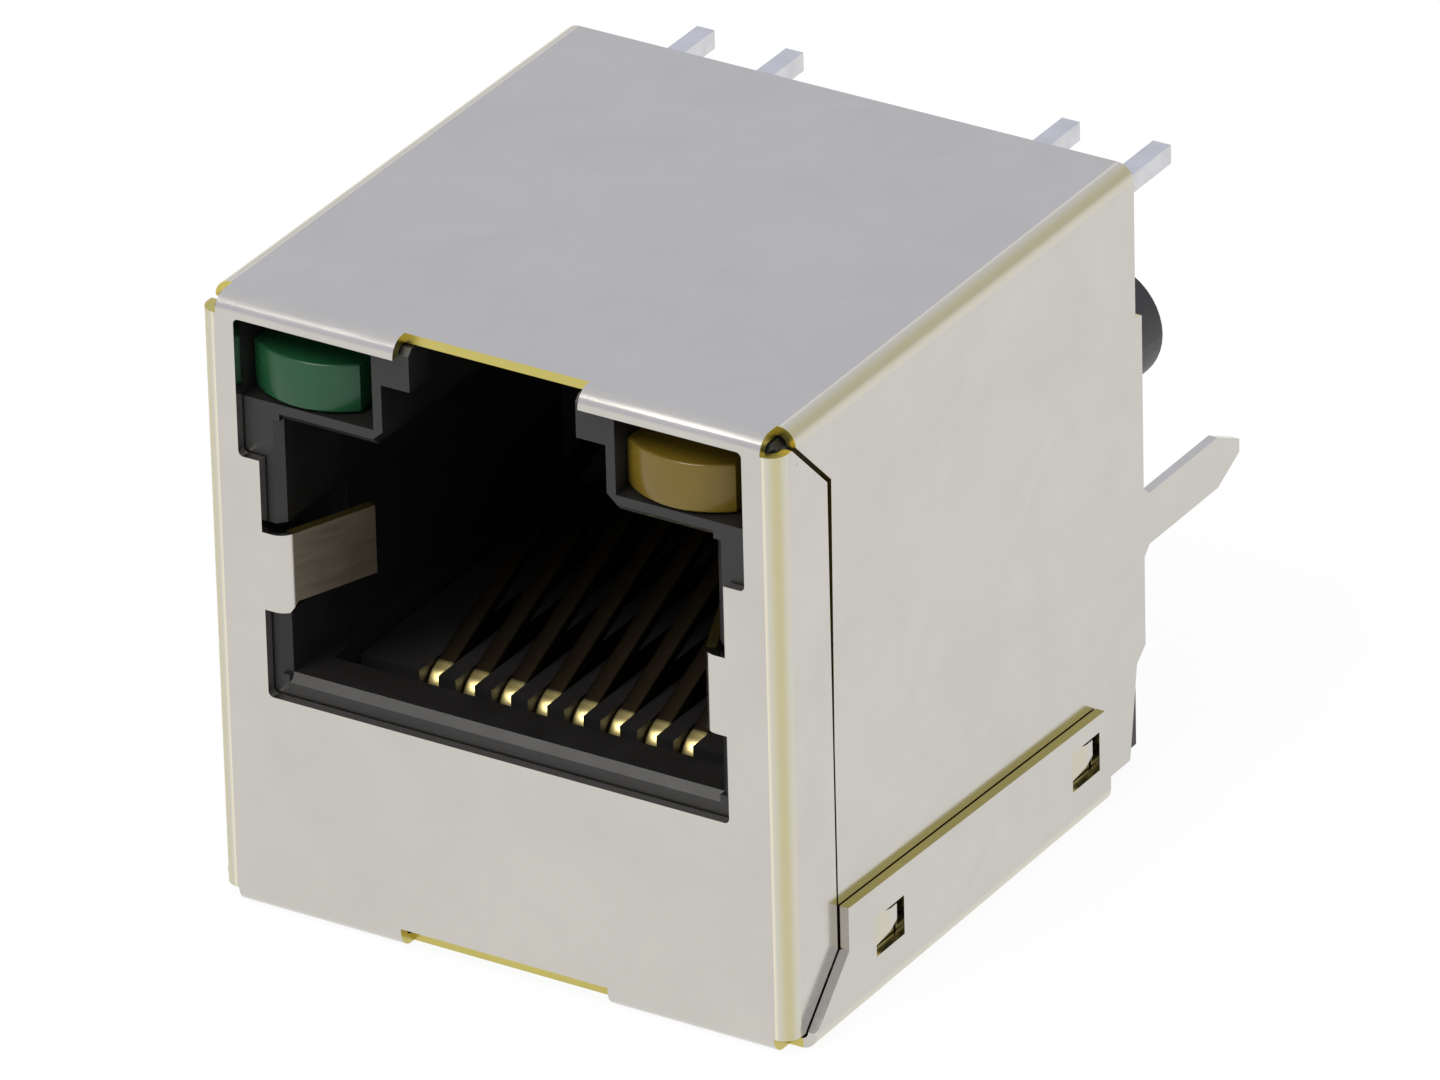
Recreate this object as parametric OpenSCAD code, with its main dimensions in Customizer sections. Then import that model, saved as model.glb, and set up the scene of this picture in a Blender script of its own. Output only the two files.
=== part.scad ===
// Shielded 8-way modular board jack with two indicator lamps, plug side to the front.
// X runs across the jack, -Y is the plug side, +Y the circuit-board side, +Z the latch side.
// The jack lies on its contact side, on the bottom plate of the shield. All sizes are in millimetres.

/* [Shield] */
// Outer width across the side panels
shield_w = 16; // [15.8:0.1:16.6]
// Outer height from the bottom plate to the top panel
shield_h = 16.4; // [16.3:0.1:17]
// Depth from the front panel to the rear cut edge of the top panel
shield_d = 16.3; // [16:0.1:17.5]
// Thickness of the sheet
sheet = 0.25; // [0.2:0.01:0.3]
// Outer radius of every fold
fold_r = 0.45; // [0.4:0.01:0.55]
// Width of the relief left open at each folded corner
corner_relief = 0.5; // [0.4:0.05:0.7]
// How far the front panel's side flanges reach back
flange_d = 2.14; // [1.8:0.02:2.6]
// Where the flange's 45 degree corners start, behind the front face
flange_corner = 0.62; // [0.6:0.02:1]
// Slit between flange and side panel at the top
slit_top = 0.18; // [0.1:0.01:0.25]
// Slit between flange and side panel lower down
slit_low = 0.07; // [0.05:0.01:0.12]
// Height at which the slit has narrowed
slit_close_z = 7.4; // [6:0.1:9]
// Height of the lower cut edge of the side panels
side_low_z = 0.47; // [0.46:0.01:0.6]

/* [Front window] */
// Width of the window beside the lamps
wide_window_w = 14; // [13.6:0.1:14.4]
// Height of the step where the window narrows
window_step_z = 12.28; // [11.8:0.02:12.6]
// Width of the window beside the plug
window_w = 12.84; // [12.6:0.02:13]
// Height of the window's lower edge
window_z = 5.96; // [5.7:0.02:6.1]
// Radius of the window's corners
window_r = 0.14; // [0.05:0.01:0.2]
// Flat lip left between the window and the top fold
bar_lip = 0.03; // [0.02:0.01:0.1]
// Width of the latch notch through the top fold
notch_w = 5.1; // [4.8:0.02:5.6]
// Width of the relief in the middle of the bottom fold
bottom_relief_w = 5.8; // [5:0.1:7]
// How far the two middle cut edges sit behind the front face
notch_d = 0.57; // [0.56:0.01:0.7]

/* [Spring fingers] */
// Height of the fingers' lower edge at the root
finger_z = 8.3; // [8:0.05:8.6]
// Height of a finger at its root
finger_h = 2.08; // [1.8:0.02:2.3]
// Height of a finger at its free end
finger_tip_h = 1.8; // [1.5:0.02:2]
// Flat root of a finger before its fold
finger_root = 0.28; // [0.24:0.01:0.36]
// Angle through which a finger is folded
finger_angle = 67; // [60:1:75]
// Straight length of a finger behind its fold
finger_l = 2.35; // [1.8:0.05:2.8]

/* [Bottom tray] */
// Gap between the tray's flanges and the side panels
tray_gap = 0.03; // [0.02:0.01:0.06]
// Depth of the bottom plate from the front face
tray_d = 14.4; // [14:0.1:15]
// Height of the tray's flanges at the front
tray_front_h = 3.12; // [2.8:0.02:3.4]
// Height of the tray's flanges at the rear
tray_rear_h = 2.7; // [2.5:0.02:3]
// Size of the latch windows in the flanges, along Y
latch_window_l = 1.28; // [1.1:0.02:1.5]
// Size of the latch windows in the flanges, along Z
latch_window_h = 1.05; // [0.9:0.05:1.2]
// Height of the latch windows' lower edge
latch_window_z = 1.2; // [1.1:0.05:1.4]
// Front edges of the two latch windows on each side
latch_window_y = [3.44, 12.6];
// How far a lanced tab stands out of the side panel
lance_rise = 0.24; // [0.1:0.01:0.27]

/* [Board side] */
// Height of the jack's seats above the shield's rear cut edge
standoff = 0.3; // [0.2:0.05:0.4]
// Lower end of the side panels' seating edge
seat_edge_low_z = 3.3; // [3:0.1:3.6]
// Upper end of the side panels' seating edge
seat_edge_high_z = 12.25; // [11.5:0.05:12.6]
// Height of the ground tabs' middle
tab_z = 6.62; // [6.2:0.02:7]
// Width of a ground tab
tab_w = 1.38; // [1.2:0.02:1.6]
// Length of a ground tab from the board
tab_l = 4.6; // [4:0.1:5]
// Length of a ground tab's pointed end
tab_point = 1.05; // [0.6:0.05:1.4]
// Width of a ground tab's blunt tip
tab_tip_w = 0.36; // [0.2:0.02:0.5]
// Radius of the locating posts
post_r = 1.6; // [1.5:0.01:1.65]
// Spacing of the two locating posts
post_pitch = 11.43; // [11:0.01:11.9]
// Height of the locating posts' axes
post_z = 10.6; // [10:0.1:11.2]
// Length of the locating posts from the board
post_l = 2.5; // [2:0.1:3]
// Chamfer round the end of a post
post_chamfer = 0.35; // [0.2:0.05:0.5]

/* [Housing] */
// Play between the housing and the shield
housing_play = 0.05; // [0.03:0.01:0.08]
// Chamfer along the housing's front and long edges
housing_chamfer = 0.16; // [0.14:0.01:0.25]
// Width of the plug cavity
cavity_w = 12; // [11.8:0.05:12.2]
// Height of the plug cavity's floor
cavity_z = 6.5; // [6.35:0.05:6.6]
// Height of the plug cavity
cavity_h = 6.8; // [6.7:0.05:6.9]
// Depth of the plug cavity from the front face
cavity_d = 12.6; // [12:0.1:13]
// Lead-in chamfer round the cavity's mouth
mouth_chamfer = 0.2; // [0.1:0.01:0.25]
// Thickness of the lip below the plug
lip_t = 1.25; // [1:0.05:1.5]
// Depth of the wall recesses behind the spring fingers
finger_recess = 0.55; // [0.4:0.05:0.7]
// Thickness of the floor under the contact block
floor_t = 0.7; // [0.5:0.05:0.9]

/* [Latch slot] */
// Width of the latch slot
latch_slot_w = 6.2; // [6:0.05:6.3]
// Width of the flare where the latch slot meets the cavity
latch_flare_w = 6.7; // [6.5:0.05:6.8]
// Height of that flare
latch_flare_h = 0.22; // [0.1:0.02:0.3]
// Width between the catch shoulders
catch_w = 4.6; // [4.2:0.05:5]
// Height of the catch shoulders' undersides
catch_z = 15; // [14.8:0.05:15.2]
// Thickness of the catch shoulders, along Y
catch_t = 0.9; // [0.6:0.05:1.2]
// Depth of the latch slot from the front face
latch_slot_d = 12; // [10:0.1:12.4]

/* [Lamps] */
// Thickness of the ledge between the plug cavity and a lamp
lamp_ledge = 0.45; // [0.4:0.05:0.6]
// Inner wall of a lamp's channel, from the middle of the jack
lamp_inner_x = 3.35; // [3.3:0.05:3.5]
// Outer wall of a lamp's channel, from the middle of the jack
lamp_outer_x = 7; // [6.9:0.05:7.1]
// Play round a lamp in its channel
lamp_play = 0.05; // [0.03:0.01:0.1]
// Height of a lamp's lens
lens_h = 1.25; // [1.1:0.05:1.4]
// How far the middle of a lens bulges out in front of its edges
lens_bulge = 0.5; // [0.3:0.05:0.7]
// Depth of a lens's middle behind the front face
lens_y = 0.4; // [0.36:0.02:0.7]
// Length of a lens from its middle to its base
lens_l = 5.6; // [5:0.1:6.5]
// Length of a lamp's thicker base
lamp_base_l = 1.4; // [1:0.1:2]
// Height of a lamp's thicker base
lamp_base_h = 2.2; // [2.1:0.05:2.3]
// Spacing of a lamp's two leads
lead_pitch = 2.54; // [2.4:0.01:2.6]
// Thickness of a lamp's square leads
lead_t = 0.5; // [0.4:0.02:0.5]
// Height of the leads' middle above the lens's underside
lead_rise = 0.82; // [0.75:0.02:0.9]
// Length of a lamp's leads from the board
lead_l = 3.7; // [3:0.1:4.2]
// Depth of the leads' inner ends behind the middle of the lens
lead_inset = 1.9; // [1.4:0.1:2.4]
// Size of a lamp's light-emitting chip
chip_w = 0.32; // [0.2:0.02:0.4]
// Thickness of the chip
chip_t = 0.14; // [0.1:0.02:0.2]

/* [Contacts] */
// Spacing of neighbouring contacts
pitch = 1.016; // [1:0.002:1.03]
// Diameter of the contact wire
wire_d = 0.46; // [0.4:0.01:0.5]
// Height of the wires' lower run
run_z = 5.1; // [5:0.05:5.2]
// Radius of the wires' front bend, at the middle of the wire
nose_r = 0.45; // [0.4:0.01:0.5]
// Depth of the front bend's centre behind the front face
nose_y = 3.5; // [3.3:0.05:3.8]
// Slope of the sprung part of the wires
spring_angle = 24; // [20:0.5:26]
// How far the sprung ends reach into the slots behind the cavity
spring_overlap = 0.3; // [0.2:0.05:0.6]
// Radius of the two rear bends, at the middle of the wire
rear_bend_r = 0.4; // [0.36:0.01:0.42]
// Depth of the wires' vertical stretch behind the front face
drop_y = 13.6; // [13.4:0.05:14.2]
// Heights of the two rows of tails
row_z = [1.7, 4.24];
// Length of the tails from the board
tail_l = 3.2; // [2.8:0.1:3.6]
// Taper at the end of a tail
tail_point = 0.15; // [0.1:0.01:0.2]

/* [Contact block] */
// Width of the contact block
block_w = 11; // [10.6:0.1:11.2]
// Height of the block's top
block_top_z = 6.1; // [6:0.05:6.2]
// Depth of the block's front behind the front face
block_y = 2.6; // [2.4:0.05:2.7]
// Width of the block's side rails
rail_w = 0.4; // [0.3:0.05:0.6]
// Height of the block's side rails
rail_h = 1; // [0.8:0.1:1.4]
// Height of the rails' underside above the block's floor
rail_rise = 1.6; // [1.2:0.1:2]
// How far the rails stop short of the block's front
rail_setback = 3.4; // [2:0.1:5]
// Play round the block in the housing
block_play = 0.05; // [0.03:0.01:0.08]
// Play round a wire in its slot or bore
wire_play = 0.04; // [0.02:0.01:0.08]

/* [Hidden] */
$fn = 48;
CONTACTS = 8;
// Amount by which a cut runs past the face it opens
past = 1;
seat_y = shield_d + standoff;
tab_tip_y = seat_y + tab_l;
// The reference point is the middle of the footprint, so everything moves forward by half the length
origin_y = tab_tip_y / 2;
tray_w = shield_w + 2 * (tray_gap + sheet);
fold_inner_r = fold_r - sheet;
fold_top_z = shield_h - fold_r;
flange_chamfer = flange_d - flange_corner;
finger_x = window_w / 2;
housing_w = shield_w - 2 * (sheet + housing_play);
housing_y = sheet + housing_play;
housing_low_z = sheet + housing_play;
housing_top_z = shield_h - sheet - housing_play;
cavity_top_z = cavity_z + cavity_h;
chamber_low_z = housing_low_z + floor_t;
chamber_y = housing_y + lip_t;
lamp_z = cavity_top_z + lamp_ledge;
lamp_w = lamp_outer_x - lamp_inner_x - 2 * lamp_play;
lamp_x = (lamp_outer_x + lamp_inner_x) / 2;
lens_low_z = lamp_z + lamp_play;
lens_edge_y = lens_y + lens_bulge;
lens_front_r = (pow(lamp_w / 2, 2) + pow(lens_bulge, 2)) / (2 * lens_bulge);
lens_rear_y = lens_y + lens_l;
lamp_base_y = lens_rear_y - lamp_base_l;
lead_z = lens_low_z + lead_rise;
lead_y = lens_y + lead_inset;
lamp_wall_y = cavity_d + 2.6;
wire_r = wire_d / 2;
slot_w = wire_d + 2 * wire_play;
nose_z = run_z + nose_r;
spring_y = nose_y - nose_r * sin(spring_angle);
spring_z = nose_z + nose_r * cos(spring_angle);
spring_end_y = cavity_d + spring_overlap;
spring_end_z = spring_z + (spring_end_y - spring_y) * tan(spring_angle);
spring_l = (spring_end_y - spring_y) / cos(spring_angle);
block_low_z = chamber_low_z + block_play;
rail_z = block_low_z + rail_rise;

// ---- Helpers ----

// Moves the front-face frame so that the reference point is the middle of the footprint
module placed() { translate([0, -origin_y, 0]) children(); }

// A profile drawn in X and Z, extruded along Y
module along_y(y0, y1) { translate([0, y1, 0]) rotate([90, 0, 0]) linear_extrude(y1 - y0) children(); }

// A profile drawn in Y and Z, extruded along X
module along_x(x0, x1) { translate([x0, 0, 0]) rotate([90, 0, 90]) linear_extrude(x1 - x0) children(); }

// A profile drawn in X and Y, extruded along Z
module along_z(z0, z1) { translate([0, 0, z0]) linear_extrude(z1 - z0) children(); }

// A box given by its lowest and highest corners
module block(low, high) { translate(low) cube(high - low); }

// The children and their mirror image across the middle of the jack
module both_sides() {
    children();
    mirror([1, 0, 0]) children();
}

// The solid outline of a folded channel: a web along X and two legs towards +Y
module channel_outline(w, leg, r) {
    translate([-w / 2, r]) square([w, leg - r]);
    translate([-w / 2 + r, 0]) square([w - 2 * r, leg]);
    both_sides() translate([w / 2 - r, r]) circle(r);
}

// The section of a sheet folded into a channel
module channel(w, leg) {
    difference() {
        channel_outline(w, leg, fold_r);
        translate([0, sheet]) channel_outline(w - 2 * sheet, leg, fold_inner_r);
    }
}

// The section of one fold whose outer faces meet at the origin, towards +X and +Y
module fold_section() {
    translate([fold_r, fold_r]) intersection() {
        difference() {
            circle(fold_r);
            circle(fold_inner_r);
        }
        translate([-fold_r, -fold_r]) square(fold_r);
    }
}

// ---- Shield: one folded sheet ----

// Side view of a side panel with its ground tab
module side_outline() {
    front_y = flange_corner + slit_top;
    polygon([
        [front_y, shield_h], [front_y, fold_top_z],
        [flange_d + slit_top, fold_top_z - flange_chamfer],
        [flange_d + slit_low, slit_close_z], [flange_d + slit_low, side_low_z],
        [shield_d - 0.5, side_low_z], [shield_d - 0.12, seat_edge_low_z - 0.35],
        [seat_y, seat_edge_low_z], [seat_y, seat_edge_high_z],
        [shield_d, seat_edge_high_z + 0.1], [shield_d, shield_h]
    ]);
    tab_outline();
}

// Side view of a ground tab, with a gusset on each side of its root
module tab_outline() {
    root_y = seat_y - 0.5;
    gusset = 0.25;
    for (side = [-1, 1]) polygon([
        [root_y, tab_z], [root_y, tab_z + side * (tab_w / 2 + gusset)],
        [seat_y, tab_z + side * (tab_w / 2 + gusset)],
        [seat_y + gusset, tab_z + side * tab_w / 2],
        [tab_tip_y - tab_point, tab_z + side * tab_w / 2],
        [tab_tip_y, tab_z + side * tab_tip_w / 2], [tab_tip_y, tab_z]
    ]);
}

// Side view of the front panel's flange, with its two 45 degree corners
module flange_outline() {
    polygon([
        [-past, fold_r], [flange_corner, fold_r], [flange_d, fold_r + flange_chamfer],
        [flange_d, fold_top_z - flange_chamfer], [flange_corner, fold_top_z], [-past, fold_top_z]
    ]);
}

// Side view of the bottom tray's flange
module tray_flange_outline() {
    front_y = flange_corner + slit_low;
    rear_corner = 0.25;
    polygon([
        [front_y, -past], [front_y, fold_r], [flange_d + slit_low, fold_r + flange_chamfer],
        [flange_d + slit_low, tray_front_h], [tray_d - rear_corner, tray_rear_h],
        [tray_d, tray_rear_h - rear_corner], [tray_d, -past]
    ]);
}

// A window with rounded corners, in X and Z
module window_hole(w, low_z, high_z) {
    translate([-w / 2 + window_r, low_z]) square([w - 2 * window_r, high_z - low_z]);
    translate([-w / 2, low_z + window_r]) square([w, high_z - low_z - 2 * window_r]);
    both_sides() for (z = [low_z + window_r, high_z - window_r]) translate([w / 2 - window_r, z]) circle(window_r);
}

// The front panel's window: wide beside the lamps, narrower beside the plug
module front_window() {
    window_hole(wide_window_w, window_step_z, fold_top_z - bar_lip);
    window_hole(window_w, window_z, fold_top_z - bar_lip);
}

// Top panel, both side panels and the ground tabs
module shield_body() {
    difference() {
        intersection() {
            along_y(0, tab_tip_y + past) translate([0, shield_h]) mirror([0, 1]) channel(shield_w, shield_h);
            union() {
                along_x(-shield_w, shield_w) side_outline();
                block([-shield_w / 2 + corner_relief, fold_r, fold_top_z],
                      [shield_w / 2 - corner_relief, shield_d, shield_h]);
            }
        }
        block([-notch_w / 2, 0, fold_top_z], [notch_w / 2, notch_d, shield_h + past]);
        for (y = latch_window_y) lance_hole(y);
    }
    both_sides() for (y = latch_window_y) lance(y);
}

// The opening that a lanced tab leaves in both side panels
module lance_hole(y) {
    block([-shield_w, y + 0.1, latch_window_z + 0.1],
          [shield_w, y + latch_window_l - 0.1, latch_window_z + latch_window_h - 0.05]);
}

// A lanced tab: joined at the front, rising to its free rear end
module lance(y) {
    low_z = latch_window_z + 0.1;
    high_z = latch_window_z + latch_window_h - 0.1;
    length = latch_window_l - 0.32;
    intersection() {
        along_z(low_z, high_z) translate([shield_w / 2, y + 0.05]) polygon([
            [-sheet, 0], [0, 0], [lance_rise, length * 0.7], [lance_rise, length],
            [lance_rise - sheet, length], [lance_rise - sheet, length * 0.7], [-sheet, 0.1]
        ]);
        along_x(0, shield_w) polygon([
            [y, low_z], [y + 0.3, low_z], [y + latch_window_l, high_z - 0.25], [y + latch_window_l, high_z], [y, high_z]
        ]);
    }
}

// Front panel with its window, vertical folds and side flanges
module front_panel() {
    difference() {
        intersection() {
            along_z(0, shield_h) channel(shield_w, flange_d + past);
            along_x(-shield_w, shield_w) flange_outline();
        }
        along_y(-past, fold_r) front_window();
        block([-notch_w / 2, -past, fold_top_z - bar_lip - 0.01], [notch_w / 2, fold_r, shield_h]);
        block([-bottom_relief_w / 2, -past, 0], [bottom_relief_w / 2, fold_r, notch_d]);
    }
}

// The folds that join the front panel to the top panel and to the bottom plate
module front_folds() {
    outer = shield_w / 2 - corner_relief;
    both_sides() {
        along_x(notch_w / 2, outer) translate([0, shield_h]) mirror([0, 1]) fold_section();
        along_x(bottom_relief_w / 2, outer) fold_section();
    }
}

// Bottom plate with its side flanges, which lie outside the side panels
module bottom_tray() {
    difference() {
        intersection() {
            along_y(0, tray_d) channel(tray_w, tray_front_h + past);
            union() {
                along_x(-tray_w, tray_w) tray_flange_outline();
                block([-shield_w / 2 + corner_relief, fold_r, 0], [shield_w / 2 - corner_relief, tray_d, fold_r]);
            }
        }
        block([-bottom_relief_w / 2, 0, -past], [bottom_relief_w / 2, notch_d, fold_r]);
        for (y = latch_window_y)
            block([-tray_w, y, latch_window_z], [tray_w, y + latch_window_l, latch_window_z + latch_window_h]);
    }
}

// A spring finger, folded in from the window's edge
module finger() {
    root_x = finger_x - finger_root;
    turn = finger_angle;
    tip_y = fold_r + finger_l;
    top_z = finger_z + finger_h;
    drop = finger_h - finger_tip_h;
    intersection() {
        along_z(finger_z, top_z) {
            translate([root_x, 0]) square([finger_root + window_r + 0.2, sheet]);
            translate([root_x, fold_r]) intersection() {
                difference() {
                    circle(fold_r);
                    circle(fold_inner_r);
                }
                polygon([[0, 0], [0, -past], [-past * tan(turn / 2) , -past], [-past * sin(turn), -past * cos(turn)]]);
            }
            translate([root_x, fold_r]) rotate(-turn) translate([-finger_l, -fold_r]) square([finger_l, sheet]);
        }
        along_x(0, shield_w) polygon([
            [-past, finger_z], [sheet * 0.6, finger_z], [fold_r * 0.8, finger_z + drop * 0.9],
            [tip_y, finger_z + drop], [tip_y, top_z], [-past, top_z]
        ]);
    }
}

module shield() {
    color("silver") placed() {
        shield_body();
        front_panel();
        front_folds();
        bottom_tray();
        both_sides() finger();
    }
}

// ---- Housing ----

// The moulding's outer block with its chamfered front and long edges
module housing_block() {
    c = housing_chamfer;
    half = housing_w / 2;
    intersection() {
        along_x(-half, half) polygon([
            [housing_y, housing_low_z + c], [housing_y + c, housing_low_z], [seat_y, housing_low_z],
            [seat_y, housing_top_z], [housing_y + c, housing_top_z], [housing_y, housing_top_z - c]
        ]);
        along_z(0, shield_h) polygon([
            [-half + c, housing_y], [half - c, housing_y], [half, housing_y + c],
            [half, seat_y], [-half, seat_y], [-half, housing_y + c]
        ]);
        along_y(0, seat_y) polygon([
            [-half + c, housing_low_z], [half - c, housing_low_z], [half, housing_low_z + c],
            [half, housing_top_z - c], [half - c, housing_top_z], [-half + c, housing_top_z],
            [-half, housing_top_z - c], [-half, housing_low_z + c]
        ]);
    }
}

// Space for the plug, with a lead-in chamfer all round its mouth
module plug_cavity() {
    half = cavity_w / 2;
    c = mouth_chamfer;
    block([-half, 0, cavity_z], [half, cavity_d, cavity_top_z]);
    along_x(-half, half) polygon([
        [housing_y - c, cavity_z - 2 * c], [housing_y + c, cavity_z],
        [housing_y + c, cavity_top_z], [housing_y - c, cavity_top_z + 2 * c]
    ]);
    along_z(cavity_z, cavity_top_z) polygon([
        [-half - 2 * c, housing_y - c], [half + 2 * c, housing_y - c], [half, housing_y + c], [-half, housing_y + c]
    ]);
}

// Space for the plug's latch, closed at the front by two catch shoulders
module latch_slot() {
    half = latch_slot_w / 2;
    flare = latch_flare_w / 2;
    catch_half = catch_w / 2;
    along_y(0, latch_slot_d) polygon([
        [-flare, cavity_top_z - past], [flare, cavity_top_z - past],
        [flare, cavity_top_z + latch_flare_h], [half, cavity_top_z + 2 * latch_flare_h],
        [half, catch_z], [catch_half, catch_z], [catch_half, shield_h], [-catch_half, shield_h],
        [-catch_half, catch_z], [-half, catch_z],
        [-half, cavity_top_z + 2 * latch_flare_h], [-flare, cavity_top_z + latch_flare_h]
    ]);
    block([-half, housing_y + catch_t, catch_z - past], [half, latch_slot_d, shield_h]);
}

// A lamp's channel, open along the top, with two lead slots through the rear wall
module lamp_channel() {
    block([lamp_inner_x, 0, lamp_z], [lamp_outer_x, lamp_wall_y, shield_h]);
    for (x = [lamp_x - lead_pitch / 2, lamp_x + lead_pitch / 2])
        block([x - lead_t / 2 - lamp_play, lamp_wall_y - past, lead_z - lead_t / 2 - lamp_play],
              [x + lead_t / 2 + lamp_play, seat_y + past, shield_h]);
}

// Space for the contact block, open to the cavity and to the board side
module block_chamber() {
    half = block_w / 2 + block_play;
    rail = rail_w + block_play;
    block([-half, chamber_y, chamber_low_z], [half, seat_y + past, block_top_z + block_play]);
    block([-half, chamber_y, chamber_low_z], [half, cavity_d, cavity_z + 0.01]);
    both_sides()
        block([half - past / 2, block_y + rail_setback - block_play, rail_z - block_play],
              [half + rail, seat_y + past, rail_z + rail_h + block_play]);
}

// A slot behind the cavity for the sprung end of each wire
module spring_end_slots() {
    for (i = [1:CONTACTS])
        block([contact_x(i) - slot_w / 2, cavity_d - past, cavity_z - past],
              [contact_x(i) + slot_w / 2, spring_end_y + wire_d, spring_end_z + wire_d]);
}

module post() {
    translate([post_pitch / 2, seat_y - 0.5, post_z]) rotate([-90, 0, 0]) {
        cylinder(h = post_l + 0.5 - post_chamfer, r = post_r);
        translate([0, 0, post_l + 0.5 - post_chamfer])
            cylinder(h = post_chamfer, r1 = post_r, r2 = post_r - post_chamfer);
    }
}

module housing() {
    color([0.09, 0.09, 0.09]) placed() {
        difference() {
            housing_block();
            plug_cavity();
            latch_slot();
            both_sides() {
                lamp_channel();
                block([cavity_w / 2 - past, 0, finger_z - 0.15],
                      [cavity_w / 2 + finger_recess, fold_r + finger_l + 0.3, finger_z + finger_h + 0.15]);
            }
            block_chamber();
            spring_end_slots();
        }
        both_sides() post();
    }
}

// ---- Contacts and the block that holds them ----

// Contact 1 is on the right when the latch is up
function contact_x(i) = ((CONTACTS + 1) / 2 - i) * pitch;
function contact_row_z(i) = row_z[i % 2];

// A straight stretch of wire between two points in Y and Z
module wire_run(from, to) {
    d = to - from;
    translate([0, from[0], from[1]]) rotate([atan2(d[1], d[0]) - 90, 0, 0]) cylinder(h = norm(d), r = wire_r);
}

// A bend of the wire about a centre in Y and Z, from one angle to another, after a straight lead-in
module wire_bend(centre, r, from, to, lead_in = 0) {
    translate([0, centre[0], centre[1]]) rotate([90, 0, 90]) rotate(from) {
        rotate_extrude(angle = to - from) translate([r, 0]) circle(wire_r);
        if (lead_in > 0) translate([r, 0, 0]) rotate([90, 0, 0]) cylinder(h = lead_in, r = wire_r);
    }
}

// One contact: sprung run, front bend, lower run, drop to its row and tail
module contact(i) {
    tail_z = contact_row_z(i);
    tail_end_y = seat_y + tail_l - tail_point;
    color("gold") placed() translate([contact_x(i), 0, 0]) {
        wire_bend([nose_y, nose_z], nose_r, 90 + spring_angle, 270, spring_l);
        wire_run([nose_y, run_z], [drop_y - rear_bend_r, run_z]);
        wire_bend([drop_y - rear_bend_r, run_z - rear_bend_r], rear_bend_r, 0, 90);
        wire_run([drop_y, tail_z + rear_bend_r], [drop_y, run_z - rear_bend_r]);
        wire_bend([drop_y + rear_bend_r, tail_z + rear_bend_r], rear_bend_r, 180, 270);
        wire_run([drop_y + rear_bend_r, tail_z], [tail_end_y, tail_z]);
        translate([0, tail_end_y, tail_z]) rotate([-90, 0, 0])
            cylinder(h = tail_point, r1 = wire_r, r2 = wire_r - tail_point * 0.8);
    }
}

// The slots and the bore that one wire lies in
module wire_space(i) {
    x = contact_x(i);
    half = slot_w / 2;
    tail_z = contact_row_z(i);
    block([x - half, block_y - past, run_z - half], [x + half, drop_y + half, block_top_z + past]);
    block([x - half, drop_y - half - wire_r, tail_z - half],
          [x + half, drop_y + rear_bend_r, block_top_z + past]);
    translate([x, drop_y, tail_z]) rotate([-90, 0, 0]) cylinder(h = seat_y - drop_y + past, r = half);
}

module contact_block() {
    half = block_w / 2;
    color([0.12, 0.12, 0.12]) placed() difference() {
        union() {
            block([-half, block_y, block_low_z], [half, seat_y, block_top_z]);
            block([-half - rail_w, block_y + rail_setback, rail_z],
                  [half + rail_w, seat_y, rail_z + rail_h]);
        }
        for (i = [1:CONTACTS]) wire_space(i);
    }
}

// ---- Lamps ----

// Plan of a lens: a rectangle whose front is an arc
module lens_outline() {
    intersection() {
        translate([0, lens_y + lens_front_r]) circle(lens_front_r, $fn = 96);
        translate([-lamp_w / 2, 0]) square([lamp_w, lens_rear_y]);
    }
}

module lens(side) {
    play = 0.02;
    translate([side * lamp_x, 0, 0]) difference() {
        union() {
            along_z(lens_low_z, lens_low_z + lens_h) lens_plan();
            block([-lamp_w / 2, lamp_base_y, lens_low_z], [lamp_w / 2, lens_rear_y, lens_low_z + lamp_base_h]);
        }
        for (x = [-lead_pitch / 2, lead_pitch / 2]) lead_shape(x, play);
        chip_shape(play);
    }
}

// The arc's part of the lens and the straight body behind it
module lens_plan() {
    lens_outline();
    translate([-lamp_w / 2, lens_edge_y]) square([lamp_w, lens_rear_y - lens_edge_y]);
}

// A lead, grown by some play
module lead_shape(x, play) {
    half = lead_t / 2 + play;
    block([x - half, lead_y - play, lead_z - half], [x + half, seat_y + lead_l, lead_z + half]);
}

// The chip on the front end of the inner lead, grown by some play
module chip_shape(play) {
    x = -lead_pitch / 2;
    half = chip_w / 2 + play;
    block([x - half, lead_y - chip_t - play, lead_z - half], [x + half, lead_y, lead_z + half]);
}

module green_lens() { color([0.2, 0.55, 0.3]) placed() lens(-1); }
module green_anode() { color("silver") placed() translate([-lamp_x, 0, 0]) lead_shape(lead_pitch / 2, 0); }
module green_cathode() { color("silver") placed() translate([-lamp_x, 0, 0]) lead_shape(-lead_pitch / 2, 0); }
module green_chip() { color("lightgreen") placed() translate([-lamp_x, 0, 0]) chip_shape(0); }
module amber_lens() { color([0.85, 0.65, 0.2]) placed() lens(1); }
module amber_anode() { color("silver") placed() translate([lamp_x, 0, 0]) lead_shape(lead_pitch / 2, 0); }
module amber_cathode() { color("silver") placed() translate([lamp_x, 0, 0]) lead_shape(-lead_pitch / 2, 0); }
module amber_chip() { color("khaki") placed() translate([lamp_x, 0, 0]) chip_shape(0); }

// ---- Nodes ----

shield();
housing();
contact_block();
contact(1);  // contact_1
contact(2);  // contact_2
contact(3);  // contact_3
contact(4);  // contact_4
contact(5);  // contact_5
contact(6);  // contact_6
contact(7);  // contact_7
contact(8);  // contact_8
green_lens();
green_anode();
green_cathode();
green_chip();
amber_lens();
amber_anode();
amber_cathode();
amber_chip();
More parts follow.
